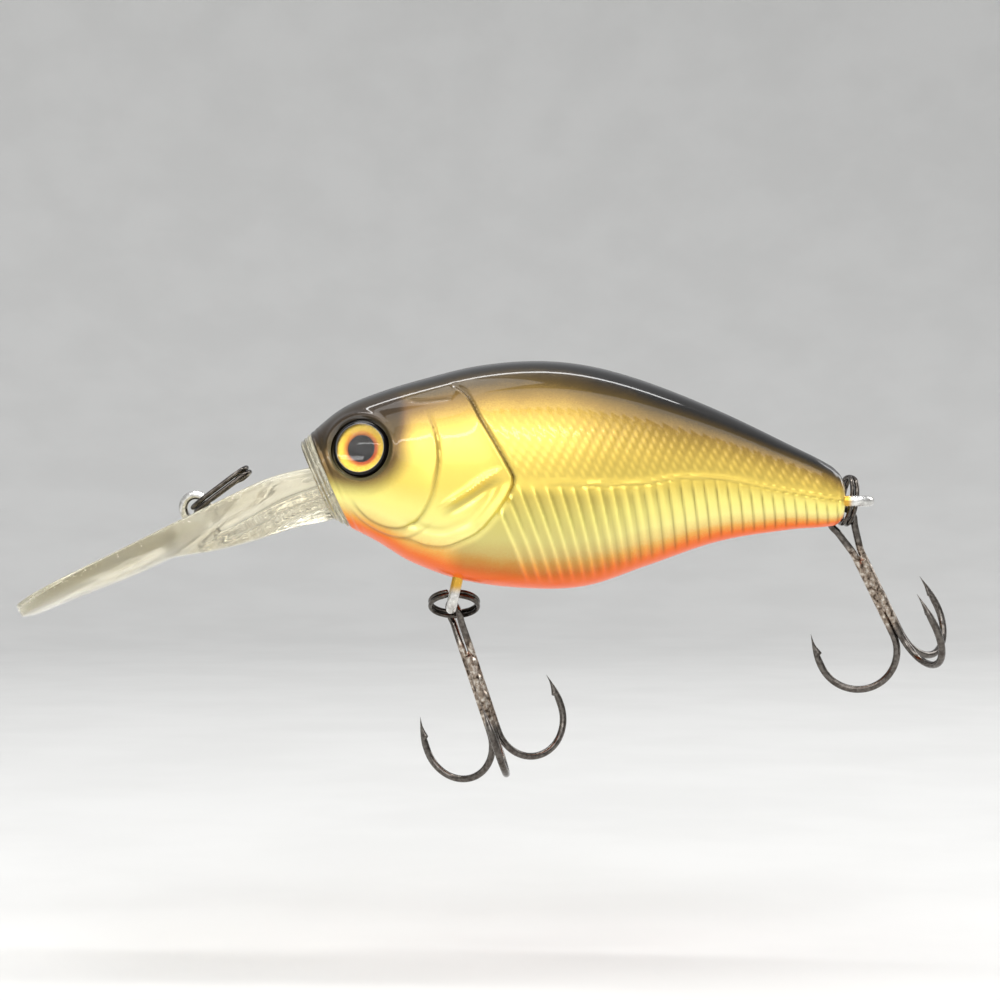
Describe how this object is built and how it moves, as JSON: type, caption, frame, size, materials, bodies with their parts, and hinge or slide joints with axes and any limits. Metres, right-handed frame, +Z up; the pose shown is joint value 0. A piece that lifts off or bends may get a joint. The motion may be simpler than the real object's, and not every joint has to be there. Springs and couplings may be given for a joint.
{
  "type": "crankbait fishing lure",
  "caption": "Deep-diving crankbait lure: hollow painted fish body with rattle balls, clear diving lip, wire line tie, split rings and swinging treble hooks.",
  "frame": {"origin": "middle of the line tie's wire loop, where the fishing line holds the lure", "axes": "+X from the nose to the tail, +Y to the lure's right flank, +Z up, out of its back"},
  "size_m": [0.0957, 0.0175, 0.0437],
  "materials": {
    "paint": "metallic gold paint under clear coat, black back and orange belly",
    "clear_plastic": "clear moulded polycarbonate, slightly cream",
    "steel_wire": "bright stainless wire",
    "black_nickel": "black nickel plate",
    "eye_foil": "printed gold foil with a black pupil",
    "clear_dome": "clear cast dome",
    "weight": "plain",
    "ball_steel": "polished"
  },
  "bodies": {
    "body": {"left_shell": "paint", "right_shell": "paint", "diving_lip": "clear_plastic", "line_tie_wire": "steel_wire", "belly_hanger": "steel_wire", "tail_hanger": "steel_wire", "left_eye_foil": "eye_foil", "left_eye_dome": "clear_dome", "right_eye_foil": "eye_foil", "right_eye_dome": "clear_dome", "belly_weight": "weight"},
    "line_ring": {"line_ring": "black_nickel"},
    "belly_ring": {"belly_ring": "black_nickel"},
    "belly_treble": {"belly_double_hook": "black_nickel", "belly_single_hook": "black_nickel"},
    "tail_ring": {"tail_ring": "black_nickel"},
    "tail_treble": {"tail_double_hook": "black_nickel", "tail_single_hook": "black_nickel"},
    "transfer_ball": {"transfer_ball": "ball_steel"},
    "front_rattle_ball": {"front_rattle_ball": "ball_steel"},
    "rear_rattle_ball": {"rear_rattle_ball": "ball_steel"}
  },
  "joints": [
    {"name": "line_ring_swing", "type": "hinge", "parent": "body", "child": "line_ring", "pos_m": [-0.00012, 0, -0.0002], "axis": [0, 1, 0], "range_deg": [-165, 10]},
    {"name": "belly_ring_tip", "type": "hinge", "parent": "body", "child": "belly_ring", "pos_m": [0.02625, 0, -0.0087], "axis": [1, 0, 0], "range_deg": [-105, 2]},
    {"name": "belly_treble_swing", "type": "hinge", "parent": "belly_ring", "child": "belly_treble", "pos_m": [0.02625, 0.00433, -0.011], "axis": [0, -1, 0], "range_deg": [-44, 5]},
    {"name": "tail_ring_turn", "type": "hinge", "parent": "body", "child": "tail_ring", "pos_m": [0.067, 0, 0.0007], "axis": [0.1392, 0, 0.9903], "range_deg": [-130, 0]},
    {"name": "tail_treble_swing", "type": "hinge", "parent": "tail_ring", "child": "tail_treble", "pos_m": [0.06618, 0.0024, -0.00126], "axis": [0, -1, 0], "range_deg": [-42, 28]},
    {"name": "transfer_ball_slide", "type": "slide", "parent": "body", "child": "transfer_ball", "axis": [1, 0, 0], "range_m": [-0.0024, 0.0064]},
    {"name": "front_rattle_ball_slide", "type": "slide", "parent": "body", "child": "front_rattle_ball", "axis": [0, 1, 0], "range_m": [-0.0036, 0.0036]},
    {"name": "rear_rattle_ball_slide", "type": "slide", "parent": "body", "child": "rear_rattle_ball", "axis": [0, 1, 0], "range_m": [-0.0038, 0.0038]}
  ]
}
